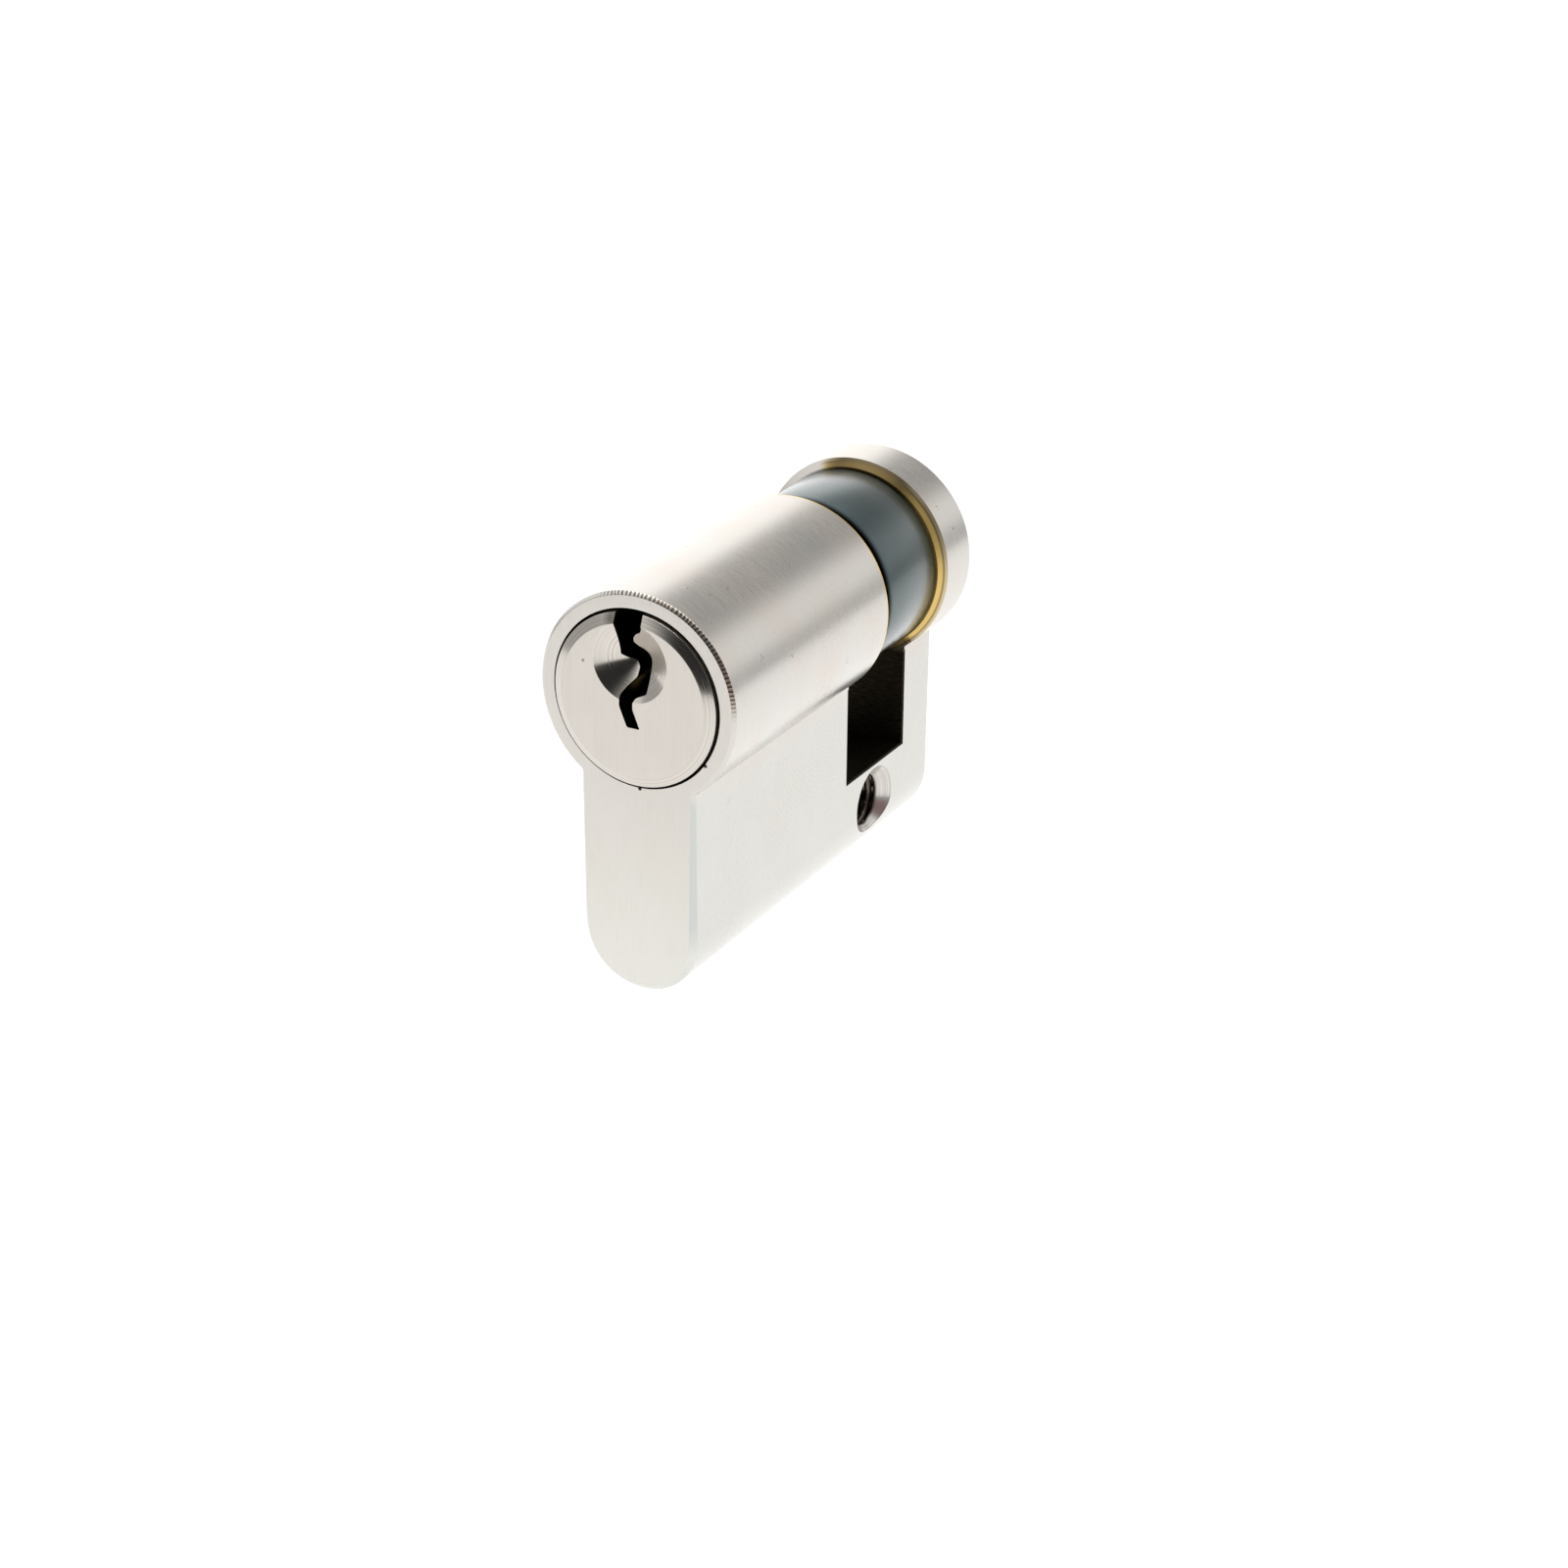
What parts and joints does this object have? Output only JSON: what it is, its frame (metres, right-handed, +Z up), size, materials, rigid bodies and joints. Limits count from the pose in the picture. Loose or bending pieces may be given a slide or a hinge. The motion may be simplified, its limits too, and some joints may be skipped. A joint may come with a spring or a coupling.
{
  "type": "half euro cylinder lock",
  "caption": "Half euro-profile lock cylinder: a nickel-plated body with a keyed plug, sprung pin stacks and a turning steel cam in its slot.",
  "frame": {"origin": "centre of the fixing-screw hole, on the cylinder's middle plane: the point from which both lengths of a euro cylinder are measured", "axes": "+Y along the barrel from the key side to the back, +Z up from the stem to the barrel, +X to the right of a person facing the key side; the plug's axis is parallel to Y at Z = 19.1 mm"},
  "size_m": [0.0227, 0.0406, 0.033],
  "materials": {
    "nickel_plate": "satin nickel plate on brass, finely brushed",
    "plug_nickel": "fine-turned nickel plate on brass",
    "cam_steel": "blue-grey satin sintered steel",
    "spring_steel": "bright spring steel",
    "sintered_steel": "matt sintered steel",
    "brass": "plain turned brass"
  },
  "bodies": {
    "housing": {"housing": "nickel_plate", "rear_bearing": "brass", "coupling_spring": "spring_steel", "chamber_cap_1": "brass", "chamber_cap_2": "brass", "chamber_cap_3": "brass", "chamber_cap_4": "brass", "chamber_cap_5": "brass", "pin_spring_1": "spring_steel", "pin_spring_2": "spring_steel", "pin_spring_3": "spring_steel", "pin_spring_4": "spring_steel", "pin_spring_5": "spring_steel"},
    "plug": {"plug": "plug_nickel", "retaining_clip": "spring_steel"},
    "cam": {"cam": "cam_steel"},
    "coupling": {"coupling": "sintered_steel"},
    "key_pin_1": {"key_pin_1": "brass"},
    "driver_pin_1": {"driver_pin_1": "brass"},
    "key_pin_2": {"key_pin_2": "brass"},
    "driver_pin_2": {"driver_pin_2": "brass"},
    "key_pin_3": {"key_pin_3": "brass"},
    "driver_pin_3": {"driver_pin_3": "brass"},
    "key_pin_4": {"key_pin_4": "brass"},
    "driver_pin_4": {"driver_pin_4": "brass"},
    "key_pin_5": {"key_pin_5": "brass"},
    "driver_pin_5": {"driver_pin_5": "brass"}
  },
  "joints": [
    {"name": "plug_turn", "type": "hinge", "parent": "housing", "child": "plug", "pos_m": [0, 0, 0.0191], "axis": [0, 1, 0], "continuous": true},
    {"name": "cam_turn", "type": "hinge", "parent": "housing", "child": "cam", "pos_m": [0, 0, 0.0191], "axis": [0, 1, 0], "continuous": true},
    {"name": "coupling_slide", "type": "slide", "parent": "plug", "child": "coupling", "axis": [0, 1, 0], "range_m": [0, 0.0015], "stiffness_N_per_m": 200, "springref_m": -0.003, "deforming": ["coupling_spring"]},
    {"name": "key_pin_1_lift", "type": "slide", "parent": "plug", "child": "key_pin_1", "axis": [0, 0, 1], "range_m": [0, 0.0015]},
    {"name": "key_pin_2_lift", "type": "slide", "parent": "plug", "child": "key_pin_2", "axis": [0, 0, 1], "range_m": [0, 0.0015]},
    {"name": "key_pin_3_lift", "type": "slide", "parent": "plug", "child": "key_pin_3", "axis": [0, 0, 1], "range_m": [0, 0.0015]},
    {"name": "key_pin_4_lift", "type": "slide", "parent": "plug", "child": "key_pin_4", "axis": [0, 0, 1], "range_m": [0, 0.0015]},
    {"name": "key_pin_5_lift", "type": "slide", "parent": "plug", "child": "key_pin_5", "axis": [0, 0, 1], "range_m": [0, 0.0015]},
    {"name": "driver_pin_1_slide", "type": "slide", "parent": "housing", "child": "driver_pin_1", "axis": [0, 0, 1], "range_m": [-0.0015, 0], "stiffness_N_per_m": 60, "springref_m": 0.006, "deforming": ["pin_spring_1"]},
    {"name": "driver_pin_2_slide", "type": "slide", "parent": "housing", "child": "driver_pin_2", "axis": [0, 0, 1], "range_m": [-0.0015, 0], "stiffness_N_per_m": 60, "springref_m": 0.006, "deforming": ["pin_spring_2"]},
    {"name": "driver_pin_3_slide", "type": "slide", "parent": "housing", "child": "driver_pin_3", "axis": [0, 0, 1], "range_m": [-0.0015, 0], "stiffness_N_per_m": 60, "springref_m": 0.006, "deforming": ["pin_spring_3"]},
    {"name": "driver_pin_4_slide", "type": "slide", "parent": "housing", "child": "driver_pin_4", "axis": [0, 0, 1], "range_m": [-0.0015, 0], "stiffness_N_per_m": 60, "springref_m": 0.006, "deforming": ["pin_spring_4"]},
    {"name": "driver_pin_5_slide", "type": "slide", "parent": "housing", "child": "driver_pin_5", "axis": [0, 0, 1], "range_m": [-0.0015, 0], "stiffness_N_per_m": 60, "springref_m": 0.006, "deforming": ["pin_spring_5"]}
  ],
  "couplings": [
    {"joint": "cam_turn", "follows": "plug_turn", "ratio": 1}
  ]
}
